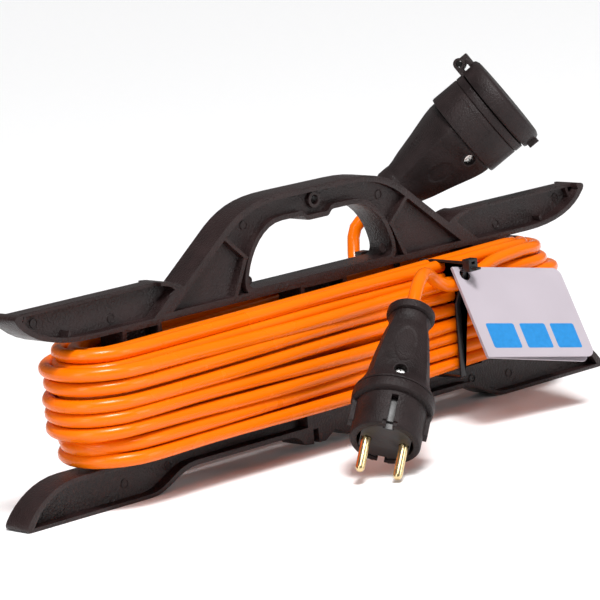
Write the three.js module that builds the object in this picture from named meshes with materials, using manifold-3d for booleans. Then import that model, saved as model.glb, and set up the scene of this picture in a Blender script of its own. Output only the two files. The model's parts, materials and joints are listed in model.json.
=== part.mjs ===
// Extension cord on a flat winder frame, with a two-pin plug, a lidded socket, ties and a folded tag.
// Millimetres. X runs along the frame, -Y is the front, +Z is up and z = 0 is the surface it stands on.
import * as THREE from 'three';
import { mergeVertices } from 'three/addons/utils/BufferGeometryUtils.js';
import loadManifold from 'manifold-3d';

const manifoldLibrary = await loadManifold();
manifoldLibrary.setup();
const { Manifold, Mesh: ManifoldMesh } = manifoldLibrary;

// Driving dimensions
const CORD_DIAMETER = 7;
const GAP = 0.3;

const FRAME_THICKNESS = 17;
const WEB = 3;
const FLANGE_BOTTOM = 86.5;
const BAR_TOP = 21;
const HANDLE_WEB_FRONT = -4.4;
const WING_WEB_FRONT = -1.5;
const WING_EDGE_HALF_THICKNESS = 4.5;
const POST_RIB = 2.6;
const CENTRE_POST = { from: -16.7, to: 16.7 };
const SIDE_POST = { from: 114, to: 140 };

const WINDING = { halfLength: 182, halfWidth: 31.3, bottom: 23.6, top: 84.1 };
const WINDING_HOLE = { halfLength: 146.5, halfWidth: 9.7, corner: 6 };

const PIN_SPACING = 19;
const PIN_RADIUS = 2.4;
const PLUG_PLACE = {
  origin: new THREE.Vector3(10.5, -60.5, 71.8),
  axis: new THREE.Vector3(-0.672, -0.35, -0.652),
  side: new THREE.Vector3(-0.29, -0.5, 0.567),
};
const SOCKET_PLACE = {
  origin: new THREE.Vector3(104, 40, 113.5),
  axis: new THREE.Vector3(0.58, -0.57, 0.58),
  side: new THREE.Vector3(-0.25, 0.464, 0.848),
};
const TIE = { width: 3.6, thickness: 1.2, frontX: 74, rearX: 72 };
const TAG = { width: 74, height: 56, thickness: 0.6, corner: 5, hole: 3.4, open: 3.5 };
const TAG_CORNER = new THREE.Vector3(68.6, -35, 83.3);
const TAG_ALONG = new THREE.Vector3(0.976, -0.134, -0.173);
const TAG_DOWN = new THREE.Vector3(-0.22, -0.59, -0.776);

// The free stretches of the cord, from the winding to the plug and to the socket.
const PLUG_CORD_ROUTE = [
  [65.5, -35, 74], [57.5, -35.3, 77.4], [50, -38, 81.4], [42.5, -42.4, 84.8], [35, -46.8, 86.2],
  [27.8, -51, 84.8],
];
const SOCKET_CORD_ROUTE = [
  [18, 35.2, 58], [36, 35.4, 59.4], [54, 37.4, 62.4], [69, 42.2, 68.2], [79, 48.6, 76.6],
  [84.6, 53.6, 86.6], [88.6, 54.8, 96.6],
];

// Materials
const looks = {
  frame: { color: 0x2b2828, roughness: 0.62, metalness: 0 },
  cord: { color: 0xf08a10, roughness: 0.28, metalness: 0 },
  rubber: { color: 0x343131, roughness: 0.75, metalness: 0 },
  insert: { color: 0x2a2727, roughness: 0.55, metalness: 0 },
  brass: { color: 0xc9a95c, roughness: 0.25, metalness: 1 },
  steel: { color: 0xc8c8c6, roughness: 0.3, metalness: 1 },
  tie: { color: 0x141414, roughness: 0.45, metalness: 0 },
  card: { color: 0xe9e7ea, roughness: 0.8, metalness: 0 },
  brownCore: { color: 0x6b3a1e, roughness: 0.5, metalness: 0 },
  blueCore: { color: 0x2b62b5, roughness: 0.5, metalness: 0 },
  seal: { color: 0x1d1d1d, roughness: 0.85, metalness: 0 },
};

// Geometry helpers
function toManifold(geometry) {
  const bare = geometry.clone();
  bare.deleteAttribute('normal');
  bare.deleteAttribute('uv');
  const merged = mergeVertices(bare, 1e-4);
  const mesh = new ManifoldMesh({
    numProp: 3,
    vertProperties: new Float32Array(merged.attributes.position.array),
    triVerts: new Uint32Array(merged.index.array),
  });
  mesh.merge();
  return new Manifold(mesh);
}

function toGeometry(solid) {
  const mesh = solid.getMesh();
  const geometry = new THREE.BufferGeometry();
  geometry.setAttribute('position', new THREE.BufferAttribute(new Float32Array(mesh.vertProperties), 3));
  geometry.setIndex(new THREE.BufferAttribute(new Uint32Array(mesh.triVerts), 1));
  geometry.computeVertexNormals();
  return geometry;
}

function box(x0, x1, y0, y1, z0, z1) {
  const geometry = new THREE.BoxGeometry(x1 - x0, y1 - y0, z1 - z0);
  geometry.translate((x0 + x1) / 2, (y0 + y1) / 2, (z0 + z1) / 2);
  return toManifold(geometry);
}

// A rod along X, Y or Z between two places on that axis.
function rod(axis, radius, from, to, centre, segments = 24) {
  const geometry = new THREE.CylinderGeometry(radius, radius, to - from, segments);
  if (axis === 'x') geometry.rotateZ(Math.PI / 2);
  if (axis === 'z') geometry.rotateX(Math.PI / 2);
  const middle = (from + to) / 2;
  const [a, b] = centre;
  const place = { x: [middle, a, b], y: [a, middle, b], z: [a, b, middle] }[axis];
  geometry.translate(...place);
  return toManifold(geometry);
}

// A solid of revolution about Z from [radius, height] points.
function turned(points, segments = 48) {
  const closed = [...points, points[0]].map(([radius, height]) => new THREE.Vector2(radius, height));
  const geometry = new THREE.LatheGeometry(closed, segments);
  geometry.rotateX(Math.PI / 2);
  return toManifold(fixWinding(geometry));
}

// Turns a closed surface inside out if its volume is negative.
function fixWinding(geometry) {
  const bare = geometry.clone();
  bare.deleteAttribute('normal');
  bare.deleteAttribute('uv');
  const merged = mergeVertices(bare, 1e-4);
  const position = merged.attributes.position;
  const index = merged.index.array;
  const a = new THREE.Vector3();
  const b = new THREE.Vector3();
  const c = new THREE.Vector3();
  let volume = 0;
  for (let i = 0; i < index.length; i += 3) {
    a.fromBufferAttribute(position, index[i]);
    b.fromBufferAttribute(position, index[i + 1]);
    c.fromBufferAttribute(position, index[i + 2]);
    volume += a.dot(b.cross(c));
  }
  if (volume < 0) {
    for (let i = 0; i < index.length; i += 3) {
      [index[i + 1], index[i + 2]] = [index[i + 2], index[i + 1]];
    }
  }
  return merged;
}

// A shape drawn in X and Z, as a slab between two depths in Y.
function slab(shape, front, back, curveSegments = 8) {
  const depth = back - front;
  const geometry = new THREE.ExtrudeGeometry(shape, { depth, bevelEnabled: false, curveSegments });
  geometry.rotateX(Math.PI / 2);
  geometry.translate(0, back, 0);
  return toManifold(geometry);
}

// A shape drawn in X and Y, as a prism between two heights.
function prism(shape, bottom, top, curveSegments = 12) {
  const depth = top - bottom;
  const geometry = new THREE.ExtrudeGeometry(shape, { depth, bevelEnabled: false, curveSegments });
  geometry.translate(0, 0, bottom);
  return toManifold(geometry);
}

// The right half of an outline, from its top middle to its bottom middle, with its mirror image.
function symmetric(half, divisions = 8) {
  const right = half.getPoints(divisions);
  const left = right
    .slice()
    .reverse()
    .filter((point) => point.x > 1e-6)
    .map((point) => new THREE.Vector2(-point.x, point.y));
  return new THREE.Shape([...right, ...left]);
}

function rightOnly(path, divisions = 8) {
  return new THREE.Shape(path.getPoints(divisions));
}

function mirrorShape(shape) {
  const points = shape.getPoints(1).map((point) => new THREE.Vector2(-point.x, point.y));
  return new THREE.Shape(points.reverse());
}

function roundedRectangle(halfLength, halfWidth, radius) {
  const shape = new THREE.Shape();
  shape.moveTo(halfLength, halfWidth - radius);
  shape.absarc(halfLength - radius, halfWidth - radius, radius, 0, Math.PI / 2);
  shape.absarc(-halfLength + radius, halfWidth - radius, radius, Math.PI / 2, Math.PI);
  shape.absarc(-halfLength + radius, -halfWidth + radius, radius, Math.PI, 1.5 * Math.PI);
  shape.absarc(halfLength - radius, -halfWidth + radius, radius, 1.5 * Math.PI, 2 * Math.PI);
  return shape;
}

// A closed tube through a list of points.
function tube(points, radius, steps, sides = 10) {
  const curve = new THREE.CatmullRomCurve3(points, false, 'centripetal');
  const shape = new THREE.Shape();
  for (let i = 0; i < sides; i += 1) {
    const angle = (2 * Math.PI * i) / sides;
    const x = radius * Math.cos(angle);
    const y = radius * Math.sin(angle);
    if (i === 0) shape.moveTo(x, y);
    else shape.lineTo(x, y);
  }
  return new THREE.ExtrudeGeometry(shape, { extrudePath: curve, steps, bevelEnabled: false });
}

function unite(solids) {
  return solids.reduce((sum, solid) => sum.add(solid));
}

function cut(solid, cutters) {
  return solid.subtract(unite(cutters));
}

function named(name, shape, look) {
  const geometry = shape instanceof Manifold ? toGeometry(shape) : shape;
  const mesh = new THREE.Mesh(geometry, new THREE.MeshStandardMaterial(looks[look]));
  mesh.name = name;
  return mesh;
}

// A group whose local Z points along the axis and whose local Y points to the given side.
function placedGroup({ origin, axis, side }) {
  const z = axis.clone().normalize();
  const y = side.clone().addScaledVector(z, -side.dot(z)).normalize();
  const x = new THREE.Vector3().crossVectors(y, z);
  const group = new THREE.Group();
  group.quaternion.setFromRotationMatrix(new THREE.Matrix4().makeBasis(x, y, z));
  group.position.copy(origin);
  return group;
}

function alongGroup(group, distance) {
  return new THREE.Vector3(0, 0, distance).applyQuaternion(group.quaternion).add(group.position);
}

// Winder frame: one moulding with a grip opening, wings that keep the cord on, posts and hooks.
function handleSide() {
  const top = new THREE.Path();
  top.moveTo(0, 137.2);
  top.lineTo(22, 137.2);
  top.bezierCurveTo(44, 137.2, 56, 133.2, 70, 121.8);
  top.lineTo(97, 101.2);
  top.quadraticCurveTo(103, 106, 113, 106);
  top.lineTo(202, 106);
  top.quadraticCurveTo(208.5, 106, 206, 102);
  top.bezierCurveTo(198, 92, 182, FLANGE_BOTTOM, 158, FLANGE_BOTTOM);
  top.lineTo(0, FLANGE_BOTTOM);
  return symmetric(top);
}

function footSide() {
  const foot = new THREE.Path();
  foot.moveTo(0, BAR_TOP);
  foot.lineTo(176, BAR_TOP);
  foot.bezierCurveTo(192, BAR_TOP, 204, 13, 210.5, 4.5);
  foot.quadraticCurveTo(213.5, 0, 208, 0);
  foot.lineTo(131, 0);
  foot.bezierCurveTo(118, 0, 112, 10, 98, 10);
  foot.lineTo(34, 10);
  foot.quadraticCurveTo(27, 10, 23, 4);
  foot.lineTo(16.6, 3.2);
  foot.lineTo(16.4, 11);
  foot.lineTo(12.8, 11);
  foot.lineTo(12.6, 3.4);
  foot.lineTo(8, 3.4);
  foot.lineTo(0, 8.2);
  return symmetric(foot);
}

function gripOpening(grow) {
  const half = new THREE.Path();
  half.moveTo(0, 120 + grow);
  half.lineTo(6.5, 120 + grow);
  half.bezierCurveTo(9, 120 + grow, 9, 123 + grow, 12, 123 + grow);
  half.lineTo(26, 123 + grow);
  half.bezierCurveTo(39 + grow, 123 + grow, 49 + grow, 111, 52 + grow, 99);
  half.quadraticCurveTo(54 + grow, 91.5 - grow, 47 + grow, 91.5 - grow);
  half.lineTo(0, 91.5 - grow);
  return symmetric(half);
}

function handleRecess() {
  const half = new THREE.Path();
  half.moveTo(0, 134.2);
  half.lineTo(21, 134.2);
  half.bezierCurveTo(42, 134.2, 53.5, 130.4, 67, 119.4);
  half.lineTo(105.5, 90);
  half.lineTo(0, 90);
  return symmetric(half);
}

function topWingRecess() {
  const path = new THREE.Path();
  path.moveTo(118.6, 89);
  path.lineTo(158, 89);
  path.bezierCurveTo(180.3, 89, 195.3, 93.8, 202.6, 103.2);
  path.lineTo(200, 104.2);
  path.lineTo(113, 104.2);
  path.quadraticCurveTo(107, 104.2, 103, 100.8);
  return rightOnly(path);
}

function footRecess() {
  const path = new THREE.Path();
  path.moveTo(20, 12.6);
  path.lineTo(99, 12.6);
  path.bezierCurveTo(113.5, 12.6, 119, 1.9, 132, 1.9);
  path.lineTo(207.5, 1.9);
  path.bezierCurveTo(202, 11, 191, 18.6, 176, 18.6);
  path.lineTo(20, 18.6);
  return rightOnly(path);
}

// A straight rib drawn in X and Z, square to the web.
function rib(x0, z0, x1, z1, thickness, front, back) {
  const length = Math.hypot(x1 - x0, z1 - z0);
  const across = { x: (-(z1 - z0) / length) * (thickness / 2), z: ((x1 - x0) / length) * (thickness / 2) };
  const shape = new THREE.Shape([
    new THREE.Vector2(x0 - across.x, z0 - across.z),
    new THREE.Vector2(x1 - across.x, z1 - across.z),
    new THREE.Vector2(x1 + across.x, z1 + across.z),
    new THREE.Vector2(x0 + across.x, z0 + across.z),
  ]);
  return slab(shape, front, back);
}

function post(from, to, front, back) {
  const solid = box(from, to, front, back, BAR_TOP - 1, FLANGE_BOTTOM + 1);
  const inner = [from + POST_RIB, to - POST_RIB];
  return cut(solid, [
    box(inner[0], inner[1], front - 1, -WEB / 2, BAR_TOP + 1, FLANGE_BOTTOM - 1),
    box(inner[0], inner[1], WEB / 2, back + 1, BAR_TOP + 1, FLANGE_BOTTOM - 1),
  ]);
}

function winderFrame() {
  const front = -FRAME_THICKNESS / 2;
  const back = FRAME_THICKNESS / 2;
  const clear = 1;

  const grip = slab(gripOpening(0), front - clear, back + clear);
  const gripRim = slab(gripOpening(2.6), front - clear, back + clear);
  const handleRibs = [-1, 1].flatMap((s) => [
    rib(s * 53.5, 108, s * 64, 86, 2.4, front - clear, back + clear),
    rib(s * 52, 107.5, s * 68, 122, 2, front, back),
  ]);
  const recess = handleRecess();
  const handleFront = cut(slab(recess, front - clear, HANDLE_WEB_FRONT), [gripRim, ...handleRibs]);
  const handleBack = cut(slab(recess, HANDLE_WEB_FRONT + WEB, back + clear), [gripRim, ...handleRibs]);

  const recesses = [topWingRecess(), footRecess()];
  const wingFronts = recesses.flatMap((shape) => [
    slab(shape, front - clear, WING_WEB_FRONT),
    slab(mirrorShape(shape), front - clear, WING_WEB_FRONT),
  ]);
  const wingBacks = recesses.flatMap((shape) => [
    slab(shape, WING_WEB_FRONT + WEB, back + clear),
    slab(mirrorShape(shape), WING_WEB_FRONT + WEB, back + clear),
  ]);

  // The upper wings' straight edges are thinner than the curved edges that hold the cord.
  const upperEdges = [[112, 201.5], [-201.5, -112]].flatMap(([x0, x1]) => [
    box(x0, x1, front - clear, -WING_EDGE_HALF_THICKNESS, 103.2, 108),
    box(x0, x1, WING_EDGE_HALF_THICKNESS, back + clear, 103.2, 108),
  ]);
  const gussets = [-1, 1].flatMap((s) => [
    rib(s * 173, 88, s * 171.4, 92.6, 1.8, -6.4, WING_WEB_FRONT + 1),
    rib(s * 199, 98, s * 196.4, 104.6, 1.8, -4.4, WING_WEB_FRONT + 1),
  ]);
  const boss = rod('y', 4.3, front + 1.6, HANDLE_WEB_FRONT + 1, [0, 129.6]);
  const bossHole = rod('y', 2.6, front - clear, back + clear, [0, 129.6]);

  const handle = slab(handleSide(), front, back);
  const foot = slab(footSide(), front, back);
  const posts = [
    post(CENTRE_POST.from, CENTRE_POST.to, front, back),
    post(SIDE_POST.from, SIDE_POST.to, front, back),
    post(-SIDE_POST.to, -SIDE_POST.from, front, back),
  ];
  const walls = cut(unite([handle, foot]), [
    grip, handleFront, handleBack, ...wingFronts, ...wingBacks, ...upperEdges,
  ]);
  return cut(unite([walls, ...posts, ...gussets, boss]), [bossHole]);
}

// Cord
function cordWinding() {
  const shape = roundedRectangle(WINDING.halfLength, WINDING.halfWidth, WINDING.halfWidth);
  const hole = roundedRectangle(WINDING_HOLE.halfLength, WINDING_HOLE.halfWidth, WINDING_HOLE.corner);
  shape.holes.push(hole);
  return prism(shape, WINDING.bottom, WINDING.top, 10);
}

const CORD_END_IN_HOUSING = 15;

function freeCord(route, housing) {
  const approach = [14, 0, -CORD_END_IN_HOUSING].map((distance) => alongGroup(housing, -distance));
  const points = [...route.map((point) => new THREE.Vector3(...point)), ...approach];
  return tube(points, CORD_DIAMETER / 2, 40);
}

// Shared wiring parts of the plug and the socket
const CLAMP = { from: 24, to: 29, halfWidth: 7, near: 3.9, far: 6.4, screwX: 5.3 };

function clampBar() {
  const bar = box(-CLAMP.halfWidth, CLAMP.halfWidth, CLAMP.near, CLAMP.far, CLAMP.from, CLAMP.to);
  const middle = (CLAMP.from + CLAMP.to) / 2;
  return cut(bar, [-1, 1].map((s) => rod('y', 1.5, 2, 8, [s * CLAMP.screwX, middle], 16)));
}

function clampScrew(s) {
  const middle = (CLAMP.from + CLAMP.to) / 2;
  const shank = rod('y', 1.15, -5.6, CLAMP.far + 0.6, [s * CLAMP.screwX, middle], 16);
  const head = rod('y', 2, CLAMP.far + GAP, CLAMP.far + 1.6, [s * CLAMP.screwX, middle], 16);
  return unite([shank, head]);
}

function core(s, end) {
  const start = CORD_END_IN_HOUSING + GAP;
  const points = [
    [1.75 * s, 0, start], [1.8 * s, 0, 23], [2.2 * s, 0, end - 6], [5.2 * s, 0, end - 4],
    [8.4 * s, 0, end - 2.6], [(PIN_SPACING / 2) * s, 0, end - 1.5], [(PIN_SPACING / 2) * s, 0, end - 0.6],
  ].map((point) => new THREE.Vector3(...point));
  return tube(points, 1.2, 16, 8);
}

// The saddle under the clamp, joined to a contact carrier that starts at the given height.
function saddle(carrierStart) {
  const middle = (CLAMP.from + CLAMP.to) / 2;
  const { halfWidth, far, near, from } = CLAMP;
  const plate = box(-halfWidth, halfWidth, -far, -near, from, carrierStart + 1);
  return cut(plate, [-1, 1].map((s) => rod('y', 1.5, -8, 0, [s * CLAMP.screwX, middle], 16)));
}

// Plug: local Z runs from the cord entry to the pins, local Y is the side with the housing screw.
const PLUG = {
  rear: 56, ring: 56.4, shell: 62.6, face: 83, tip: 102,
  carrier: 52, screw: 49.5, block: 41.5, terminal: 46,
};

function plugHousing() {
  const body = turned([
    [CORD_DIAMETER / 2 + 0.4, 0], [11.4, 0], [12.3, 1.2], [12.3, 4.8], [11, 5.8], [10.9, 9], [12.9, 17],
    [15.2, 28.6], [17.2, 40], [18.4, 50], [20.2, 53.6], [21, PLUG.rear], [15, PLUG.rear],
    [15, 42], [13.5, 32.4], [9.9, 22.4], [CORD_DIAMETER / 2 + 0.4, 16],
  ]);
  return cut(body, [rod('y', 3.3, 9, 24, [0, PLUG.screw])]);
}

function plugFrontShell() {
  const body = turned([
    [14.4, PLUG.ring], [21, PLUG.ring], [21.3, PLUG.ring + 1], [21, PLUG.shell - 1], [19.8, PLUG.shell],
    [18.1, PLUG.shell], [18.1, PLUG.face - 0.8], [17.5, PLUG.face], [14.4, PLUG.face],
  ]);
  const lug = box(17, 20.2, -2.8, 2.8, PLUG.shell - 1, 75);
  const slots = [
    box(-1.7, 1.7, 13, 20, 65, 90),
    box(-3.8, 3.8, 16.6, 20, 80.8, 90),
  ];
  return cut(unite([body, lug, lug.mirror([1, 0, 0])]), [
    ...slots,
    ...slots.map((slot) => slot.mirror([0, 1, 0])),
  ]);
}

function plugCarrier() {
  const drum = turned([[0, PLUG.carrier], [14, PLUG.carrier], [14, PLUG.face - 0.4], [0, PLUG.face - 0.4]]);
  const screwBoss = box(-4.4, 4.4, -5, 12, PLUG.screw - 5, PLUG.carrier + 1);
  const holes = [-1, 1].map((s) => rod('z', PIN_RADIUS + 0.35, 40, 90, [(s * PIN_SPACING) / 2, 0]));
  const screwHole = rod('y', 1.85, 4, 13, [0, PLUG.screw], 16);
  const headRoom = rod('y', 3.2, 12, 16, [0, PLUG.screw]);
  const clips = [-1, 1].map((s) => box(-2.8, 2.8, s > 0 ? 12.4 : -16, s > 0 ? 16 : -12.4, 79, 90));
  const flats = [-1, 1].map((s) => box(s > 0 ? 12.7 : -16, s > 0 ? 16 : -12.7, -7, 7, 72, 90));
  const cutters = [...holes, screwHole, headRoom, ...clips, ...flats];
  return cut(unite([drum, screwBoss, saddle(PLUG.carrier)]), cutters);
}

function plugPin(s) {
  const x = (s * PIN_SPACING) / 2;
  const start = PLUG.block + 9.5;
  const profile = [[0, start], [PIN_RADIUS, start], [PIN_RADIUS, 100.6], [1.5, PLUG.tip], [0, PLUG.tip]];
  const shank = turned(profile, 24).translate([x, 0, 0]);
  const block = rod('z', 3.4, PLUG.block, PLUG.block + 10, [x, 0]);
  return cut(unite([shank, block]), [rod('y', 1.75, -0.5, 6, [x, PLUG.terminal], 16)]);
}

function terminalScrew(x, height, top) {
  return rod('y', 1.4, 0, top, [x, height], 16);
}

function plugScrew() {
  const shank = rod('y', 1.5, 5, 13, [0, PLUG.screw], 16);
  const head = rod('y', 2.9, 12.3, 14.4, [0, PLUG.screw], 24);
  return cut(unite([shank, head]), [
    box(-2, 2, 13.6, 15, PLUG.screw - 0.4, PLUG.screw + 0.4),
    box(-0.4, 0.4, 13.6, 15, PLUG.screw - 2, PLUG.screw + 2),
  ]);
}

const plug = placedGroup(PLUG_PLACE);
plug.add(
  named('plug_housing', plugHousing(), 'rubber'),
  named('plug_front_shell', plugFrontShell(), 'rubber'),
  named('plug_pin_carrier', plugCarrier(), 'insert'),
  named('plug_pin_left', plugPin(-1), 'brass'),
  named('plug_pin_right', plugPin(1), 'brass'),
  named('plug_terminal_screw_left', terminalScrew(-PIN_SPACING / 2, PLUG.terminal, 4.4), 'steel'),
  named('plug_terminal_screw_right', terminalScrew(PIN_SPACING / 2, PLUG.terminal, 4.4), 'steel'),
  named('plug_housing_screw', plugScrew(), 'steel'),
  named('plug_cord_clamp', clampBar(), 'insert'),
  named('plug_clamp_screw_left', clampScrew(-1), 'steel'),
  named('plug_clamp_screw_right', clampScrew(1), 'steel'),
  named('plug_core_brown', core(-1, PLUG.block), 'brownCore'),
  named('plug_core_blue', core(1, PLUG.block), 'blueCore'),
);

// Socket: local Z runs from the cord entry to the lid, local Y is the hinge side.
const SOCKET = {
  rear: 49.6, sleeve: 50, mouth: 73, lidTop: 82.6, well: 21,
  carrier: 40, face: 49.2, contact: 34, screw: 45.5,
};
// The housing screw sits this far round the socket from the side opposite the hinge.
const SOCKET_SCREW_TURN = -50;
const HINGE = { y: 30.6, z: 74, pin: 1.5, eye: 3.3, ear: [5.2, 8], knuckle: [2.6, 4.8] };

// Turns a feature on the local -Y side to where the housing screw sits.
function aroundSocket(solid) {
  return solid.rotate([0, 0, SOCKET_SCREW_TURN]);
}

function socketHousing() {
  const body = turned([
    [CORD_DIAMETER / 2 + 0.4, 0], [12.2, 0], [13.2, 1.2], [13.3, 7], [13.2, 8.4], [16, 20], [20, 36],
    [22.6, 46], [22.9, SOCKET.rear], [17.6, SOCKET.rear], [17.6, 44], [13.7, 30], [10.6, 21],
    [CORD_DIAMETER / 2 + 0.4, 12],
  ]);
  return cut(body, [aroundSocket(rod('y', 3.3, -30, -13, [0, SOCKET.screw]))]);
}

function hingeEye(from, to) {
  const eye = rod('x', HINGE.eye, from, to, [HINGE.y, HINGE.z]);
  return unite([eye, box(from, to, 22.6, HINGE.y, HINGE.z - HINGE.eye, HINGE.z - 0.2)]);
}

function socketSleeve() {
  const body = turned([
    [17.9, SOCKET.sleeve], [25, SOCKET.sleeve], [25.3, 51], [25.3, 66.4], [24.7, 66.8], [25.4, 67.3],
    [25.4, 71.4], [23.4, 72], [23.4, SOCKET.mouth], [SOCKET.well, SOCKET.mouth], [SOCKET.well, 52],
    [17.9, 52],
  ]);
  const ears = [-1, 1].map((s) => {
    const [near, far] = HINGE.ear;
    return hingeEye(s > 0 ? near : -far, s > 0 ? far : -near);
  });
  const well = rod('z', SOCKET.well, 52, 90, [0, 0], 48);
  const pinHole = rod('x', HINGE.pin + 0.3, -20, 20, [HINGE.y, HINGE.z]);
  return cut(unite([body, ...ears]), [well, pinHole]);
}

function socketCarrier() {
  const { carrier, face } = SOCKET;
  const drum = turned([[0, carrier], [16, carrier], [17.2, 44.6], [17.2, face], [0, face]]);
  const bores = [-1, 1].flatMap((s) => [
    rod('z', 3.6, 39, 47.2, [(s * PIN_SPACING) / 2, 0]),
    rod('z', 2.7, 40, 60, [(s * PIN_SPACING) / 2, 0]),
  ]);
  const screwHole = aroundSocket(rod('y', 1.85, -20, -7.4, [0, SOCKET.screw], 16));
  const headRoom = aroundSocket(rod('y', 3.2, -20, -13.4, [0, SOCKET.screw], 24));
  return cut(unite([drum, saddle(carrier)]), [...bores, screwHole, headRoom]);
}

function contactSleeve(s) {
  const x = (s * PIN_SPACING) / 2;
  const body = rod('z', 3.3, SOCKET.contact, 46.9, [x, 0]);
  const bore = rod('z', PIN_RADIUS + 0.1, 41, 50, [x, 0]);
  return cut(body, [bore, rod('y', 1.75, -0.5, 6, [x, SOCKET.contact + 4], 16)]);
}

function socketScrew() {
  const shank = rod('y', 1.5, -14.2, -8, [0, SOCKET.screw], 16);
  const head = rod('y', 2.9, -18.6, -13.7, [0, SOCKET.screw]);
  return aroundSocket(cut(unite([shank, head]), [
    box(-2, 2, -19, -17.8, SOCKET.screw - 0.4, SOCKET.screw + 0.4),
    box(-0.4, 0.4, -19, -17.8, SOCKET.screw - 2, SOCKET.screw + 2),
  ]));
}

function socketLid() {
  const cap = turned([
    [23.9, 72.4], [26.6, 72.4], [27, 73.4], [27, 80.2], [26.2, 81.8], [24.4, SOCKET.lidTop],
    [0, SOCKET.lidTop], [0, 78], [23.9, 78],
  ]);
  const notch = box(-9, 9, 18, 34, 66, 77.6);
  const knuckles = [-1, 1].map((s) => {
    const [near, far] = HINGE.knuckle;
    const x0 = s > 0 ? near : -far;
    const x1 = s > 0 ? far : -near;
    const eye = rod('x', HINGE.eye, x0, x1, [HINGE.y, HINGE.z]);
    const arm = box(x0, x1, 22, HINGE.y + 2.4, 77.4, 80.4);
    const root = box(x0, x1, HINGE.y - 2.4, HINGE.y + 2.4, HINGE.z, 78);
    return unite([eye, arm, root]);
  });
  const pinHole = rod('x', HINGE.pin + 0.3, -20, 20, [HINGE.y, HINGE.z]);
  const tab = box(-5, 5, -29.2, -26.2, 74.4, 80.2);
  return cut(unite([cut(cap, [notch]), ...knuckles, tab]), [pinHole]);
}

const socket = placedGroup(SOCKET_PLACE);
const seal = turned([[19.6, 73.3], [23.5, 73.3], [23.5, 77.7], [19.6, 77.7]]);
const spring = turned([[2, -2.2], [2.9, -2.2], [2.9, 2.2], [2, 2.2]], 24)
  .rotate([0, 90, 0])
  .translate([0, HINGE.y, HINGE.z]);
socket.add(
  named('socket_housing', socketHousing(), 'rubber'),
  named('socket_sleeve', socketSleeve(), 'rubber'),
  named('socket_contact_carrier', socketCarrier(), 'insert'),
  named('socket_contact_left', contactSleeve(-1), 'brass'),
  named('socket_contact_right', contactSleeve(1), 'brass'),
  named('socket_terminal_screw_left', terminalScrew(-PIN_SPACING / 2, SOCKET.contact + 4, 4.2), 'steel'),
  named('socket_terminal_screw_right', terminalScrew(PIN_SPACING / 2, SOCKET.contact + 4, 4.2), 'steel'),
  named('socket_housing_screw', socketScrew(), 'steel'),
  named('socket_cord_clamp', clampBar(), 'insert'),
  named('socket_clamp_screw_left', clampScrew(-1), 'steel'),
  named('socket_clamp_screw_right', clampScrew(1), 'steel'),
  named('socket_core_brown', core(-1, SOCKET.contact), 'brownCore'),
  named('socket_core_blue', core(1, SOCKET.contact), 'blueCore'),
  named('socket_lid', socketLid(), 'rubber'),
  named('lid_seal', cut(seal, [box(-9.4, 9.4, 15, 34, 66, 90)]), 'seal'),
  named('lid_hinge_pin', rod('x', HINGE.pin, -8, 8, [HINGE.y, HINGE.z]), 'steel'),
  named('lid_spring', spring, 'steel'),
);

// Cable ties: a strap round one leg of the winding, with its head at the outer top edge.
function tieLoop(points) {
  return new THREE.Shape(points.map(([y, z]) => new THREE.Vector2(y, z)));
}

// Extrudes a shape drawn in Y and Z to the strap's width about the given X.
function strapPrism(shape, x, width) {
  const geometry = new THREE.ExtrudeGeometry(shape, { depth: width, bevelEnabled: false });
  geometry.rotateX(Math.PI / 2);
  geometry.rotateZ(Math.PI / 2);
  geometry.translate(x - width / 2, 0, 0);
  return toManifold(fixWinding(geometry));
}

function cableTie(x, side, slack) {
  const t = TIE.thickness;
  const inner = WINDING_HOLE.halfWidth - GAP;
  const outer = WINDING.halfWidth + GAP;
  const low = WINDING.bottom - GAP;
  const high = WINDING.top + GAP;
  const inside = [[inner, low], [outer, low], [outer, high - 22], [outer + slack, high], [inner, high]];
  const outside = [
    [inner - t, low - t], [outer, low - t], [outer + t, low], [outer + t, high - 22],
    [outer + slack + t, high + t], [inner - t, high + t],
  ];
  const toSide = ([y, z]) => [side * y, z];
  const ring = strapPrism(tieLoop(outside.map(toSide)), x, TIE.width)
    .subtract(strapPrism(tieLoop(inside.map(toSide)), x, TIE.width + 2));
  const headY = [outer + slack + 0.4, outer + slack + 5.4].map((y) => side * y).sort((a, b) => a - b);
  const head = box(x - 3.2, x + 3.2, headY[0], headY[1], high - 3.4, high + 3.2);
  const slot = box(x - 1.4, x + 1.4, headY[0] - 2, headY[1] + 2, high + 0.4, high + 1.8);
  const tailY = [outer + slack + 4.6, outer + slack + 9].map((y) => side * y).sort((a, b) => a - b);
  const tail = box(x - TIE.width / 2, x + TIE.width / 2, tailY[0], tailY[1], high - 2.4, high - 1.2);
  return unite([ring, head.subtract(slot), tail]);
}

// Tag: a folded card on the front tie. Local X runs along its top edge, local Y up, local Z to its front.
function tagLeaf(back, front) {
  const { width, height, corner } = TAG;
  const shape = new THREE.Shape();
  shape.moveTo(0, 0);
  shape.lineTo(0, -height);
  shape.lineTo(width - corner, -height);
  shape.absarc(width - corner, -height + corner, corner, -Math.PI / 2, 0);
  shape.lineTo(width, -corner);
  shape.absarc(width - corner, -corner, corner, 0, Math.PI / 2);
  const leaf = prism(shape, back, front);
  return cut(leaf, [rod('z', TAG.hole, back - 1, front + 1, [TAG_HOLE.x, TAG_HOLE.y])]);
}

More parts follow.
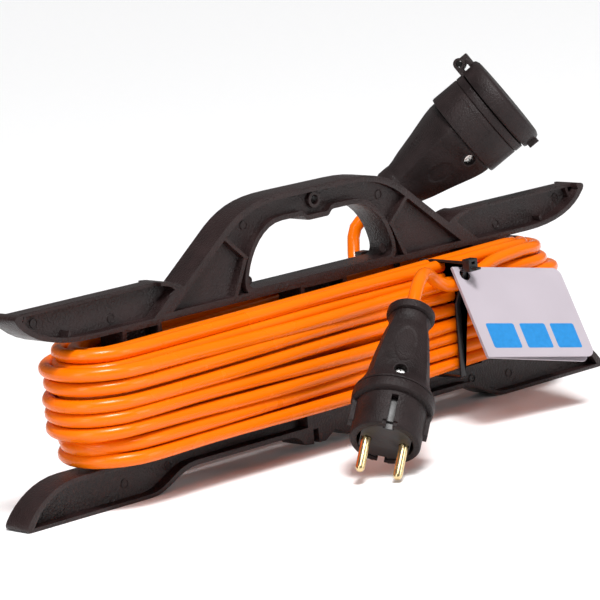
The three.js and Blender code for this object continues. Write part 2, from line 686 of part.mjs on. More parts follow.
const tagAcross = TAG_ALONG.clone().normalize();
const tagUp = TAG_DOWN.clone().negate();
tagUp.addScaledVector(tagAcross, -tagUp.dot(tagAcross)).normalize();
const tagFront = new THREE.Vector3().crossVectors(tagAcross, tagUp);
const TAG_HOLE = { x: 6.6, y: -4.9 };
const tag = new THREE.Group();
tag.quaternion.setFromRotationMatrix(new THREE.Matrix4().makeBasis(tagAcross, tagUp, tagFront));
tag.position.copy(TAG_CORNER);
const rearLeaf = named('tag_rear_leaf', tagLeaf(-TAG.thickness, 0), 'card');
rearLeaf.position.set(0, 0, -GAP);
rearLeaf.rotation.y = THREE.MathUtils.degToRad(TAG.open);
tag.add(named('tag_front_leaf', tagLeaf(0, TAG.thickness), 'card'), rearLeaf);

const cords = new THREE.Group();
cords.add(
  named('cord_winding', cordWinding(), 'cord'),
  named('plug_cord', freeCord(PLUG_CORD_ROUTE, plug), 'cord'),
  named('socket_cord', freeCord(SOCKET_CORD_ROUTE, socket), 'cord'),
);

const extensionCord = new THREE.Group();
extensionCord.add(
  named('winder_frame', winderFrame(), 'frame'),
  cords,
  plug,
  socket,
  named('front_tie', cableTie(TIE.frontX, -1, 9), 'tie'),
  named('rear_tie', cableTie(TIE.rearX, 1, 0), 'tie'),
  tag,
);

export default extensionCord;
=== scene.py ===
"""An extension cord: a flat black frame wound with orange cable, with a plug, a lidded socket and a tag."""
import json
import math
import random

import bmesh
import bpy
from mathutils import Matrix, Vector


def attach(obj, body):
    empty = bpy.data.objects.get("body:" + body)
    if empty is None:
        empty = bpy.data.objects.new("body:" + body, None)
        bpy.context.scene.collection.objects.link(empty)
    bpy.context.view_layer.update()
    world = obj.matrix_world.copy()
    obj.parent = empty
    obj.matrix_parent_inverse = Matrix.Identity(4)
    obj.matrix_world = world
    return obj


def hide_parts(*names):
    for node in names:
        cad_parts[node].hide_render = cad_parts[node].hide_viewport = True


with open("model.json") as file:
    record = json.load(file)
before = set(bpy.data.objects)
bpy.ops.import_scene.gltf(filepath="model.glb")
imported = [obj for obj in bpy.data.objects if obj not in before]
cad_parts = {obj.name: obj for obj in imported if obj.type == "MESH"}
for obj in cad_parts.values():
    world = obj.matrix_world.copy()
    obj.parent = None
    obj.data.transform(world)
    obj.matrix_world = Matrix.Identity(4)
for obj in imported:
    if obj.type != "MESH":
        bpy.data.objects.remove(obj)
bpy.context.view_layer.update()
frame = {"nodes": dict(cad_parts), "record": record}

scene = bpy.context.scene
nodes = frame["nodes"]
draw = random.Random(11)
MM = 0.001
BASE_BODY = "cord_and_frame"
LID_BODY = "socket_lid"

# ---------------------------------------------------------------- places, in millimetres, as in the CAD


def place(origin, axis, side):
    """A local frame whose Z points along the axis and whose Y points to the given side."""
    z = Vector(axis).normalized()
    y = Vector(side)
    y = (y - z * y.dot(z)).normalized()
    x = y.cross(z)
    matrix = Matrix((x, y, z)).transposed().to_4x4()
    matrix.translation = Vector(origin)
    return matrix


PLUG = place((10.5, -60.5, 71.8), (-0.672, -0.35, -0.652), (-0.29, -0.5, 0.567))
SOCKET = place((104, 40, 113.5), (0.58, -0.57, 0.58), (-0.25, 0.464, 0.848))
TAG_ALONG = (0.976, -0.134, -0.173)
TAG_DOWN = Vector((-0.22, -0.59, -0.776))
TAG = place((68.6, -35, 83.3), Vector(TAG_ALONG).cross(-TAG_DOWN), -TAG_DOWN)

PLUG_CORD_ROUTE = [
    (65.5, -35, 74), (57.5, -35.3, 77.4), (50, -38, 81.4), (42.5, -42.4, 84.8), (35, -46.8, 86.2),
    (27.8, -51, 84.8),
]
SOCKET_CORD_ROUTE = [
    (18, 35.2, 58), (36, 35.4, 59.4), (54, 37.4, 62.4), (69, 42.2, 68.2), (79, 48.6, 76.6),
    (84.6, 53.6, 86.6), (88.6, 54.8, 96.6),
]

# ---------------------------------------------------------------- camera

CAMERA_AZIMUTH = math.radians(43.45)
CAMERA_ELEVATION = math.radians(9.93)
CAMERA_ROLL = math.radians(4.91)
CAMERA_DISTANCE = 1.841
CAMERA_TARGET = Vector((-0.00995, 0, 0.0779))
CAMERA_LENS = 212.4


def make_camera():
    back = Vector((
        -math.sin(CAMERA_AZIMUTH) * math.cos(CAMERA_ELEVATION),
        -math.cos(CAMERA_AZIMUTH) * math.cos(CAMERA_ELEVATION),
        math.sin(CAMERA_ELEVATION),
    ))
    level_right = (-back).cross(Vector((0, 0, 1))).normalized()
    level_up = level_right.cross(-back)
    right = level_right * math.cos(CAMERA_ROLL) - level_up * math.sin(CAMERA_ROLL)
    up = level_up * math.cos(CAMERA_ROLL) + level_right * math.sin(CAMERA_ROLL)
    data = bpy.data.cameras.new("camera")
    data.lens = CAMERA_LENS
    data.sensor_width = 36
    data.clip_end = 20
    camera = bpy.data.objects.new("camera", data)
    matrix = Matrix((right, up, back)).transposed().to_4x4()
    matrix.translation = CAMERA_TARGET + back * CAMERA_DISTANCE
    camera.matrix_world = matrix
    scene.collection.objects.link(camera)
    scene.camera = camera


# ---------------------------------------------------------------- materials


RELIEF_DEPTH = 0.0005
COAT_ROUGHNESS = 0.12
ROUGHNESS_SPREAD = 0.08
# The part of a noise's range that holds most of its values.
NOISE_LOW = 0.3
NOISE_HIGH = 0.7


def surface(name, colour, roughness, metallic=0.0, coat=0.0, grain=0.4, bump=0.1, mottle=0.15, blotch=12.0,
            specular=0.5):
    """A moulded or drawn surface; grain and blotch are its fine and slow changes' sizes in millimetres."""
    material = bpy.data.materials.new(name)
    material.use_nodes = True
    tree = material.node_tree
    shader = tree.nodes["Principled BSDF"]
    shader.inputs["Metallic"].default_value = metallic
    shader.inputs["Coat Weight"].default_value = coat
    shader.inputs["Coat Roughness"].default_value = COAT_ROUGHNESS
    shader.inputs["Specular IOR Level"].default_value = specular
    coordinates = tree.nodes.new("ShaderNodeTexCoord")

    slow = tree.nodes.new("ShaderNodeTexNoise")
    slow.inputs["Scale"].default_value = 1000 / blotch
    slow.inputs["Detail"].default_value = 4
    tree.links.new(coordinates.outputs["Object"], slow.inputs["Vector"])

    ramp = tree.nodes.new("ShaderNodeValToRGB")
    dark, light = ramp.color_ramp.elements
    dark.position = NOISE_LOW
    light.position = NOISE_HIGH
    dark.color = [channel * (1 - mottle) for channel in colour] + [1]
    light.color = [min(1, channel * (1 + mottle)) for channel in colour] + [1]
    tree.links.new(slow.outputs["Fac"], ramp.inputs["Fac"])
    tree.links.new(ramp.outputs["Color"], shader.inputs["Base Color"])

    rough = tree.nodes.new("ShaderNodeMapRange")
    rough.inputs["From Min"].default_value = NOISE_LOW
    rough.inputs["From Max"].default_value = NOISE_HIGH
    rough.inputs["To Min"].default_value = roughness - ROUGHNESS_SPREAD
    rough.inputs["To Max"].default_value = roughness + ROUGHNESS_SPREAD
    tree.links.new(slow.outputs["Fac"], rough.inputs["Value"])
    tree.links.new(rough.outputs["Result"], shader.inputs["Roughness"])

    fine = tree.nodes.new("ShaderNodeTexNoise")
    fine.inputs["Scale"].default_value = 1000 / grain
    fine.inputs["Detail"].default_value = 3
    tree.links.new(coordinates.outputs["Object"], fine.inputs["Vector"])
    relief = tree.nodes.new("ShaderNodeBump")
    relief.inputs["Strength"].default_value = bump
    relief.inputs["Distance"].default_value = RELIEF_DEPTH
    tree.links.new(fine.outputs["Fac"], relief.inputs["Height"])
    tree.links.new(relief.outputs["Normal"], shader.inputs["Normal"])
    return material


def brushed(name, colour, roughness, scratch):
    """A turned metal surface, with fine scratches from a stretched noise."""
    material = surface(name, colour, roughness, metallic=1.0, grain=0.15, bump=0.06, mottle=0.08, blotch=3)
    tree = material.node_tree
    shader = tree.nodes["Principled BSDF"]
    coordinates = tree.nodes.new("ShaderNodeTexCoord")
    stretch = tree.nodes.new("ShaderNodeMapping")
    stretch.inputs["Scale"].default_value = (300, 300, 4000)
    lines = tree.nodes.new("ShaderNodeTexNoise")
    lines.inputs["Scale"].default_value = 1
    lines.inputs["Detail"].default_value = 5
    relief = tree.nodes.new("ShaderNodeBump")
    relief.inputs["Strength"].default_value = scratch
    relief.inputs["Distance"].default_value = 0.0001
    tree.links.new(coordinates.outputs["Object"], stretch.inputs["Vector"])
    tree.links.new(stretch.outputs["Vector"], lines.inputs["Vector"])
    tree.links.new(lines.outputs["Fac"], relief.inputs["Height"])
    tree.links.new(relief.outputs["Normal"], shader.inputs["Normal"])
    return material


looks = {
    "frame": surface(
        "frame_plastic", (0.0170, 0.0084, 0.0082), 0.34, grain=1.1, bump=1.0, mottle=0.35, specular=0.32,
    ),
    "cord": surface(
        "cord_pvc", (0.83, 0.15, 0.0002), 0.25, coat=0.1, grain=3.0, bump=0.03, mottle=0.05, blotch=30,
        specular=0.22,
    ),
    "plug_rubber": surface(
        "plug_rubber", (0.0165, 0.0105, 0.0105), 0.45, grain=0.9, bump=0.9, mottle=0.3, specular=0.17,
    ),
    "socket_rubber": surface(
        "socket_rubber", (0.0175, 0.0112, 0.0112), 0.43, grain=0.9, bump=0.8, mottle=0.3, specular=0.22,
    ),
    "insert": surface("insert_plastic", (0.018, 0.014, 0.014), 0.4, grain=0.6, bump=0.12, specular=0.4),
    "brass": brushed("pin_brass", (0.72, 0.56, 0.30), 0.2, 0.25),
    "steel": brushed("zinc_steel", (0.72, 0.72, 0.70), 0.26, 0.2),
    "black_steel": brushed("blackened_steel", (0.035, 0.033, 0.032), 0.35, 0.15),
    "tie": surface("tie_nylon", (0.010, 0.009, 0.010), 0.36, grain=0.7, bump=0.08, specular=0.4),
    "card": surface("coated_card", (0.41, 0.365, 0.405), 0.5, grain=0.25, bump=0.12, mottle=0.02, blotch=20),
    "print": surface("blue_print", (0.012, 0.20, 0.50), 0.5, grain=0.3, bump=0.1, mottle=0.08, blotch=2),
    "brown_core": surface("brown_pvc", (0.16, 0.06, 0.02), 0.4, grain=0.6, bump=0.08),
    "blue_core": surface("blue_pvc", (0.03, 0.12, 0.45), 0.4, grain=0.6, bump=0.08),
    "seal": surface("seal_rubber", (0.012, 0.012, 0.012), 0.7, grain=0.4, bump=0.3),
}
BLACKENED_NODES = ("lid_hinge_pin", "lid_spring")

# ---------------------------------------------------------------- mesh helpers


def add_piece(name, mesh, look, body, stands_for=()):
    """Adds a mesh that rides on a body, with its finish, and hides the CAD nodes it stands for."""
    piece = bpy.data.objects.new(name, mesh)
    mesh.materials.append(looks[look])
    scene.collection.objects.link(piece)
    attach(piece, body)
    if stands_for:
        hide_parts(*stands_for)
    return piece


def finished(work, name, sharp):
    """Turns a bmesh in metres into a mesh whose edges are sharp above the given angle in degrees."""
    bmesh.ops.recalc_face_normals(work, faces=work.faces)
    mesh = bpy.data.meshes.new(name)
    work.to_mesh(mesh)
    work.free()
    mesh.shade_smooth()
    mesh.set_sharp_from_angle(angle=math.radians(sharp))
    return mesh


MERGE_DISTANCE = 2e-6
FLAT_ANGLE = math.radians(1)
EDGE_ANGLE = 40


def refine(node, look, body, width):
    """A node's own shape with its edges rounded to the given width in millimetres."""
    work = bmesh.new()
    work.from_mesh(nodes[node].data)
    bmesh.ops.remove_doubles(work, verts=work.verts, dist=MERGE_DISTANCE)
    bmesh.ops.dissolve_limit(work, angle_limit=FLAT_ANGLE, verts=work.verts, edges=work.edges)
    sharp = math.radians(EDGE_ANGLE)
    edges = [e for e in work.edges if len(e.link_faces) == 2 and e.calc_face_angle(0) > sharp]
    bmesh.ops.bevel(
        work, geom=edges, offset=width * MM, segments=2, profile=0.6, affect="EDGES", clamp_overlap=True,
    )
    add_piece(node + "_form", finished(work, node, EDGE_ANGLE), look, body, [node])


def catmull(points, step):
    """Points a given step apart on a smooth curve through the given points."""
    ends = [points[0] * 2 - points[1]] + list(points) + [points[-1] * 2 - points[-2]]
    curve = []
    for a, b, c, d in zip(ends, ends[1:], ends[2:], ends[3:]):
        count = max(1, round((c - b).length / step))
        for i in range(count):
            t = i / count
            square = (a * 2 - b * 5 + c * 4 - d) * t ** 2
            cube = (b * 3 - a - c * 3 + d) * t ** 3
            curve.append(0.5 * (b * 2 + (c - a) * t + square + cube))
    curve.append(points[-1])
    return curve


def square_radius(angle):
    """The radius of a square, 1 at its corners, at an angle from the middle of one side."""
    width = math.pi / 2
    off_middle = (angle + width / 2) % width - width / 2
    return math.cos(width / 2) / math.cos(off_middle)


SQUARE_GROWTH = 1.12
SMOOTH_ANGLE = 30


def skin(work, low, high):
    """Joins two rings of vertices with faces."""
    for i, vertex in enumerate(low):
        j = (i + 1) % len(low)
        work.faces.new((vertex, low[j], high[j], high[i]))


def lathe(name, profile, matrix, around, along, flats, relief):
    """A closed body about a local Z axis, from (radius, height) points in millimetres.

    flats(height) gives how far the round section turns into a square one, and the angle of one of its sides.
    relief(height, angle, radius) gives how deep the surface is sunk there."""
    rings = []
    for (r0, h0), (r1, h1) in zip(profile, profile[1:]):
        count = max(1, math.ceil(math.hypot(r1 - r0, h1 - h0) / along))
        rings += [(r0 + (r1 - r0) * i / count, h0 + (h1 - h0) * i / count) for i in range(count)]
    rings.append(profile[-1])
    work = bmesh.new()
    rows = []
    for radius, height in rings:
        row = []
        share, side_angle = flats(height)
        for i in range(around):
            angle = 2 * math.pi * i / around
            r = radius * (1 - share + share * square_radius(angle - side_angle) * SQUARE_GROWTH)
            r -= relief(height, angle, r)
            local = Vector((r * math.cos(angle), r * math.sin(angle), height))
            row.append(work.verts.new((matrix @ local) * MM))
        rows.append(row)
    for low, high in zip(rows, rows[1:]):
        skin(work, low, high)
    work.faces.new(list(reversed(rows[0])))
    work.faces.new(rows[-1])
    return finished(work, name, SMOOTH_ANGLE)


def smoothstep(low, high, value):
    """Rises smoothly from 0 at the low value to 1 at the high one."""
    t = min(1, max(0, (value - low) / (high - low)))
    return t * t * (3 - 2 * t)


def turn_from(angle, middle):
    """The angle's difference from a middle angle, from -pi to pi."""
    return (angle - middle + math.pi) % (2 * math.pi) - math.pi


def with_hole(piece, matrix, radius, depth):
    """Cuts a round hole of a depth into a piece, centred on the matrix's origin and along its Z axis."""
    work = bmesh.new()
    bmesh.ops.create_cone(work, cap_ends=True, segments=40, radius1=radius, radius2=radius, depth=depth)
    bmesh.ops.transform(work, matrix=Matrix.Scale(MM, 4) @ matrix, verts=work.verts)
    mesh = bpy.data.meshes.new("cutter")
    work.to_mesh(mesh)
    work.free()
    cutter = bpy.data.objects.new("cutter", mesh)
    scene.collection.objects.link(cutter)
    boolean = piece.modifiers.new("hole", "BOOLEAN")
    boolean.operation = "DIFFERENCE"
    boolean.object = cutter
    boolean.solver = "EXACT"
    graph = bpy.context.evaluated_depsgraph_get()
    result = bpy.data.meshes.new_from_object(piece.evaluated_get(graph))
    piece.modifiers.clear()
    piece.data = result
    result.shade_smooth()
    result.set_sharp_from_angle(angle=math.radians(SMOOTH_ANGLE))
    bpy.data.objects.remove(cutter)


# ---------------------------------------------------------------- the cord, one line from socket to plug

CORD_DIAMETER = 7
LINE_STEP = 5
ROW_LOW = 28.2
# How far a turn climbs at each end, in millimetres.
SLANT = 2.0
END_ROUNDNESS = 1.08
END_STEPS = 6
STRAIGHT_STEPS = 8
WAVE_OUT = 0.9
WAVE_UP = 0.8
# Each layer's rows, row height, half width, reach at the ends and how unevenly it is wound, in millimetres.
LAYERS = [
    {"rows": 9, "step": 6.6, "width": 13.4, "end": 163, "slack": 1.5, "uneven": 0.3},
    {"rows": 9, "step": 6.6, "width": 20.5, "end": 168.5, "slack": 3, "uneven": 0.5},
    {"rows": 8, "step": 7.4, "width": 27.7, "end": 173.5, "slack": 5, "uneven": 1.2},
]
# How much shorter the top rows are at the right end, counted from the top.
TOP_STEPS = {1: 14, 2: 7, 3: 3}
END_IN_HOUSING = 15
STRAIGHT_FROM_GLAND = -14
REAR_BEND = [
    (3, 35, 57.2), (-9, 34.8, 54.6), (-16.5, 34.6, 49), (-18.5, 34.4, 42.5), (-14.5, 34, 36),
    (-5, 33.4, 31.6), (10, 32.4, 29.4), (32, 29.6, 28.4), (62, 24.5, 28.2), (95, 18.4, 28.2), (128, 14, 28.2),
]
LAST_TURN_OUT = [(108, -30, 80.4), (98, -31.8, 78.6), (87, -33.6, 76.2), (76, -34.8, 74)]


def winding_turns():
    """Each turn's shape, in winding order: up the inner layer, down the next and up the outer one."""
    turns = []
    for number, layer in enumerate(LAYERS):
        rows = range(layer["rows"])
        slack = layer["slack"]
        uneven = layer["uneven"]
        for row in rows if number % 2 == 0 else reversed(rows):
            shorter = TOP_STEPS.get(layer["rows"] - row, 0)
            turns.append({
                "width": layer["width"] + draw.uniform(-0.9, 0.2) * uneven,
                "height": ROW_LOW + layer["step"] * row,
                "left": layer["end"] + draw.uniform(-slack, slack),
                "right": layer["end"] - shorter + draw.uniform(-slack, slack) / 2,
                "lift": {-1: draw.uniform(-uneven, uneven), 1: draw.uniform(-uneven, uneven)},
                "phase": draw.uniform(0, 6.28),
                "wave": draw.uniform(0.3, 1.0) * (0.5 + uneven),
                "sag": draw.uniform(0.2, 2.2),
            })
    return turns


def end_bend(turn, side):
    """The round bend at the left end (-1), from front to rear, or the right one (1), from rear to front."""
    reach = turn["right"] if side > 0 else turn["left"]
    long_radius = turn["width"] * END_ROUNDNESS
    centre = reach - long_radius
    points = []
    for i in range(END_STEPS + 1):
        share = i / END_STEPS
        angle = math.pi * share
        y = turn["width"] * math.cos(angle) * side
        x = side * (centre + long_radius * math.sin(angle))
        droop = turn["sag"] * math.sin(angle)
        slant = SLANT * side * (share if side > 0 else 1 - share)
        z = turn["height"] + turn["lift"][side] + slant - droop
        points.append(Vector((x, y, z)))
    return points


def straight(turn, start, end, front):
    """The points between two ends, with the slow waves of a cord wound by hand."""
    points = []
    outward = -1 if front else 1
    for i in range(1, STRAIGHT_STEPS):
        t = i / STRAIGHT_STEPS
        point = start.lerp(end, t)
        size = turn["wave"] * math.sin(math.pi * t)
        point.y += outward * WAVE_OUT * size * math.sin(turn["phase"] + t * 7.3)
        point.z += WAVE_UP * size * math.sin(turn["phase"] * 2 + t * 5.1)
        points.append(point)
    return points


def cord_line():
    """The cord's whole centreline in millimetres, from inside the socket to inside the plug."""
    turns = winding_turns()
    line = [SOCKET @ Vector((0, 0, d)) for d in (END_IN_HOUSING, 0, STRAIGHT_FROM_GLAND)]
    line += [Vector(p) for p in SOCKET_CORD_ROUTE[::-1] + REAR_BEND]
    for index, turn in enumerate(turns):
        right = end_bend(turn, 1)
        left = end_bend(turn, -1)
        if index > 0:
            line += straight(turn, line[-1], right[0], False)
        line += right
        if index < len(turns) - 1:
            line += straight(turn, right[-1], left[0], True) + left
    line += [Vector(p) for p in LAST_TURN_OUT + PLUG_CORD_ROUTE]
    line += [PLUG @ Vector((0, 0, d)) for d in (STRAIGHT_FROM_GLAND, 0, END_IN_HOUSING)]
    return catmull(line, LINE_STEP)


def make_cord():
    line = cord_line()
    data = bpy.data.curves.new("cord", "CURVE")
    data.dimensions = "3D"
    data.bevel_depth = CORD_DIAMETER / 2 * MM
    data.bevel_resolution = 6
    data.use_fill_caps = True
    spline = data.splines.new("POLY")
    spline.points.add(len(line) - 1)
    for point, control in zip(line, spline.points):
        control.co = (*(point * MM), 1)
    spline.use_smooth = True
    cord = bpy.data.objects.new("cord", data)
    data.materials.append(looks["cord"])
    scene.collection.objects.link(cord)
    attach(cord, BASE_BODY)
    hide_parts("cord_winding", "plug_cord", "socket_cord")
    return cord


# ---------------------------------------------------------------- stage


FLOOR_HALF_WIDTH = 12
WORLD_STRENGTH = 0.2
SUN_STRENGTH = 2.85
SUN_ANGLE = math.radians(16)
SUN_DIRECTION = Vector((0.2, 0.42, -1))
LIGHTS_AIM = Vector((0, 0, 0.08))


def make_stage():
    """A pale floor and an even white studio."""
    work = bmesh.new()
    bmesh.ops.create_grid(work, x_segments=1, y_segments=1, size=FLOOR_HALF_WIDTH)
    mesh = bpy.data.meshes.new("floor")
    work.to_mesh(mesh)
    work.free()
    floor = bpy.data.objects.new("floor", mesh)
    mesh.materials.append(surface("floor_paint", (0.93, 0.93, 0.935), 0.9, grain=2, bump=0.02, mottle=0.004))
    scene.collection.objects.link(floor)
    world = bpy.data.worlds.new("studio")
    world.use_nodes = True
    world.node_tree.nodes["Background"].inputs["Color"].default_value = (1, 1, 1, 1)
    world.node_tree.nodes["Background"].inputs["Strength"].default_value = WORLD_STRENGTH
    scene.world = world
    scene.view_settings.view_transform = "Standard"


def add_light(name, position, size, power):
    data = bpy.data.lights.new(name, "AREA")
    data.shape = "RECTANGLE"
    data.size, data.size_y = size
    data.energy = power
    lamp = bpy.data.objects.new(name, data)
    lamp.location = position
    lamp.rotation_euler = (LIGHTS_AIM - Vector(position)).to_track_quat("-Z", "Y").to_euler()
    scene.collection.objects.link(lamp)


def add_sun():
    data = bpy.data.lights.new("key", "SUN")
    data.energy = SUN_STRENGTH
    data.angle = SUN_ANGLE
    lamp = bpy.data.objects.new("key", data)
    lamp.rotation_euler = SUN_DIRECTION.to_track_quat("-Z", "Y").to_euler()
    scene.collection.objects.link(lamp)


make_camera()
cord = make_cord()
make_stage()
add_sun()
add_light("overhead_softbox", (-0.5, -0.9, 1.5), (1.2, 0.5), 12)
add_light("left_softbox", (-1.7, -0.3, 0.7), (0.5, 1.2), 7)
add_light("right_softbox", (0.6, -1.7, 0.6), (0.5, 1.0), 6)

# ---------------------------------------------------------------- the plug and the socket

PLUG_SCREW = 49.5
SOCKET_SCREW = 45.5
SOCKET_SCREW_ANGLE = math.radians(220)
SOCKET_FLAT = math.radians(212)
SOCKET_GROOVES = math.radians(128)
TOWARDS_SCREW = math.pi / 2
SCREW_HOLE_RADIUS = 3.2
# How far out from its axis each housing's screw hole and rim lie.
PLUG_RIM_OUT = 17.6
SOCKET_HOLE_OUT = 21
SOCKET_RIM_OUT = 20.6


def radial(matrix, height, angle, radius):
    """A local frame on a turned body's side, with Z pointing straight out of it."""
    outward = Vector((math.cos(angle), math.sin(angle), 0))
    along = Vector((0, 0, 1))
    across = along.cross(outward)
    local = Matrix((across, along, outward)).transposed().to_4x4()
    local.translation = outward * radius + along * height
    return matrix @ local


def oval(height, angle, radius, centre_height, centre_angle, half_height, half_width, depth):
    """How deep a shallow oval recess is at a point."""
    v = (height - centre_height) / half_height
    u = turn_from(angle, centre_angle) * radius / half_width
    return depth * (1 - smoothstep(0.9, 1.02, math.hypot(u, v)))


def screw_rim(name, matrix, look):
    """A raised ring round a screw hole."""
    profile = [(0, -1.4), (0, 0.35), (0.25, 0.6), (0.7, 0.6), (1.1, 0.2), (1.5, -1.4)]
    angles = [2 * math.pi * i / 40 for i in range(40)]
    work = bmesh.new()
    rows = []
    for beyond, h in profile:
        r = SCREW_HOLE_RADIUS + beyond
        ring = [matrix @ Vector((r * math.cos(a), r * math.sin(a), h)) for a in angles]
        rows.append([work.verts.new(point * MM) for point in ring])
    for low, high in zip(rows, rows[1:] + rows[:1]):
        skin(work, low, high)
    add_piece(name, finished(work, name, 45), look, BASE_BODY)


def make_plug_housing():
    profile = [
        (11.2, 0), (11.9, 0.3), (12.4, 1), (12.5, 3.9), (12.2, 4.6), (11.4, 5), (10.3, 5.3), (10.3, 6.2),
        (10.9, 6.6), (10.9, 9), (11.7, 13), (12.9, 17), (14, 22.4), (15.2, 28.6), (16.3, 34.6), (17.3, 41),
        (18.1, 47), (18.9, 50.6), (20, 53.4), (20.8, 54.6), (21, 55.3), (20.8, 55.9), (20.3, 56), (15.4, 56),
    ]

    def flats(height):
        share = 0.42 * smoothstep(6, 12, height) * (1 - smoothstep(44, 54, height))
        return share, TOWARDS_SCREW

    def relief(height, angle, radius):
        return oval(height, angle, radius, 30, TOWARDS_SCREW, 12, 5.6, 0.45)

    mesh = lathe("plug_housing_form", profile, PLUG, around=200, along=0.8, flats=flats, relief=relief)
    piece = add_piece("plug_housing_form", mesh, "plug_rubber", BASE_BODY, ["plug_housing"])
    rim = radial(PLUG, PLUG_SCREW, TOWARDS_SCREW, PLUG_RIM_OUT)
    with_hole(piece, rim, SCREW_HOLE_RADIUS, 9)
    screw_rim("plug_screw_rim", rim, "plug_rubber")


def make_socket_housing():
    profile = [
        (12, 0), (12.8, 0.4), (13.2, 1.2), (13.3, 7), (13.2, 8.4), (14.3, 13), (16, 20), (18, 28), (20.2, 36),
        (21.8, 42), (22.8, 46), (23.1, 48.8), (22.9, 49.6), (18, 49.6),
    ]

    def flats(height):
        return 0.5 * smoothstep(5, 18, height) * (1 - 0.35 * smoothstep(40, 49, height)), SOCKET_FLAT

    def relief(height, angle, radius):
        depth = oval(height, angle, radius, 29, SOCKET_FLAT, 7.6, 5.2, 0.4)
        u = turn_from(angle, SOCKET_GROOVES) * radius / 3.2
        length_share = 1 - smoothstep(0.8, 1.0, abs(u))
        for groove_height in (27.1, 29, 30.9):
            v = height - groove_height
            depth += 0.4 * (1 - smoothstep(0.35, 0.6, abs(v - 0.5 * u))) * length_share
        return depth

    mesh = lathe("socket_housing_form", profile, SOCKET, around=240, along=0.6, flats=flats, relief=relief)
    piece = add_piece("socket_housing_form", mesh, "socket_rubber", BASE_BODY, ["socket_housing"])
    hole = radial(SOCKET, SOCKET_SCREW, SOCKET_SCREW_ANGLE, SOCKET_HOLE_OUT)
    with_hole(piece, hole, SCREW_HOLE_RADIUS, 12)
    rim = radial(SOCKET, SOCKET_SCREW, SOCKET_SCREW_ANGLE, SOCKET_RIM_OUT)
    screw_rim("socket_screw_rim", rim, "socket_rubber")


SLEEVE_RADIUS = 25.3
PANEL = {"angle": math.radians(173), "height": 58, "half_height": 6, "half_width": 12.8, "line": 0.28}


def make_socket_sleeve():
    """The sleeve, with the fine raised outline of a panel on its side."""
    refine("socket_sleeve", "socket_rubber", BASE_BODY, 0.3)
    work = bmesh.new()
    corners = [(-1, -1), (1, -1), (1, 1), (-1, 1)]
    for start, end in zip(corners, corners[1:] + corners[:1]):
        add_surface_strip(work, start, end)
    add_piece("socket_panel_line", finished(work, "socket_panel_line", 60), "socket_rubber", BASE_BODY)


def add_surface_strip(work, start, end):
    """A fine raised line on the sleeve's round side, between two corners of its panel."""
    steps = 24
    side = Vector((-(end[1] - start[1]), end[0] - start[0])).normalized() * PANEL["line"]
    loops = []
    for i in range(steps + 1):
        t = i / steps
        u = (start[0] + (end[0] - start[0]) * t) * PANEL["half_width"]
        v = (start[1] + (end[1] - start[1]) * t) * PANEL["half_height"]
        loop = []
        for shift, lift in ((-1, -0.15), (-0.6, 0.13), (0.6, 0.13), (1, -0.15)):
            angle = PANEL["angle"] + (u + side.x * shift) / SLEEVE_RADIUS
            height = PANEL["height"] + v + side.y * shift
            radius = SLEEVE_RADIUS + lift
            local = Vector((radius * math.cos(angle), radius * math.sin(angle), height))
            loop.append(work.verts.new((SOCKET @ local) * MM))
        loops.append(loop)
    for low, high in zip(loops, loops[1:]):
        skin(work, low, high)
    work.faces.new(list(reversed(loops[0])))
    work.faces.new(loops[-1])


# ---------------------------------------------------------------- small marks on the frame and the tag

HANDLE_WEB = -4.4
WING_WEB = -1.5
HANDLE_MARKS = [(49.2, 124.2), (49.3, 95.4)]
WING_MARKS = [(140.6, 92.8), (189.9, 99.6), (142, 9.1), (112.5, 11.8), (198, 5.4)]


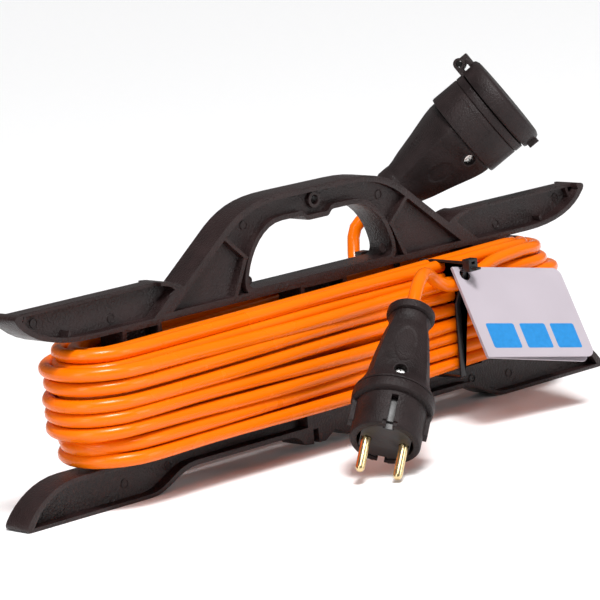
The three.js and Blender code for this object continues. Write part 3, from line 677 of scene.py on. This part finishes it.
def make_frame_marks():
    """The round marks that a mould's ejector pins leave on the webs."""
    work = bmesh.new()
    profile = [(0.01, 0.05), (1.9, 0.05), (2.05, 0.4), (2.45, 0.4), (2.7, -0.3)]
    angles = [2 * math.pi * i / 24 for i in range(24)]
    places = [(x, HANDLE_WEB, z) for x, z in HANDLE_MARKS] + [(x, WING_WEB, z) for x, z in WING_MARKS]
    for x, y, z in places:
        for side in (-1, 1):
            rows = []
            for radius, lift in profile:
                centre = Vector((side * x, y - lift, z))
                ring = [centre + Vector((radius * math.cos(a), 0, radius * math.sin(a))) for a in angles]
                rows.append([work.verts.new(point * MM) for point in ring])
            for low, high in zip(rows, rows[1:]):
                skin(work, low, high)
            work.faces.new(rows[0])
            work.faces.new(rows[-1])
    add_piece("frame_ejector_marks", finished(work, "frame_ejector_marks", 30), "frame", BASE_BODY)


TAG_THICKNESS = 0.6
PRINT_BLOCKS = [(7, 26), (30, 47.5), (51, 67.5)]
PRINT_TOP = -35.3
PRINT_BOTTOM = -50.5
PRINT_THICKNESS = 0.08


def make_tag_print():
    """Plain blue blocks printed on the tag's front leaf."""
    work = bmesh.new()
    for left, right in PRINT_BLOCKS:
        middle = Matrix.Translation(((left + right) / 2, (PRINT_TOP + PRINT_BOTTOM) / 2, TAG_THICKNESS))
        size = Matrix.Diagonal((right - left, PRINT_TOP - PRINT_BOTTOM, PRINT_THICKNESS, 1))
        bmesh.ops.create_cube(work, size=1, matrix=middle @ size)
    corners = [e for e in work.edges if abs(e.verts[0].co.z - e.verts[1].co.z) > PRINT_THICKNESS / 2]
    bmesh.ops.bevel(work, geom=corners, offset=1.2, segments=5, affect="EDGES", profile=0.5)
    bmesh.ops.transform(work, matrix=Matrix.Scale(MM, 4) @ TAG, verts=work.verts)
    add_piece("tag_print", finished(work, "tag_print", 30), "print", "tag_front")


# ---------------------------------------------------------------- every carried-over node

slots = {entry["node"]: entry["material_slot"] for entry in frame["record"]["subparts"]}
for name, node in nodes.items():
    look = "black_steel" if name in BLACKENED_NODES else slots[name]
    for material_slot in node.material_slots:
        material_slot.link = "OBJECT"
        material_slot.material = looks[look]

refine("winder_frame", "frame", BASE_BODY, 0.45)
make_plug_housing()
refine("plug_front_shell", "plug_rubber", BASE_BODY, 0.35)
make_socket_housing()
make_socket_sleeve()
refine("socket_lid", "socket_rubber", LID_BODY, 0.45)
make_frame_marks()
make_tag_print()
for name in ("front_tie", "rear_tie"):
    refine(name, "tie", BASE_BODY, 0.2)
for name in ("plug_pin_left", "plug_pin_right"):
    refine(name, "brass", BASE_BODY, 0.2)
refine("plug_pin_carrier", "insert", BASE_BODY, 0.25)
refine("socket_contact_carrier", "insert", BASE_BODY, 0.25)

bpy.context.view_layer.update()
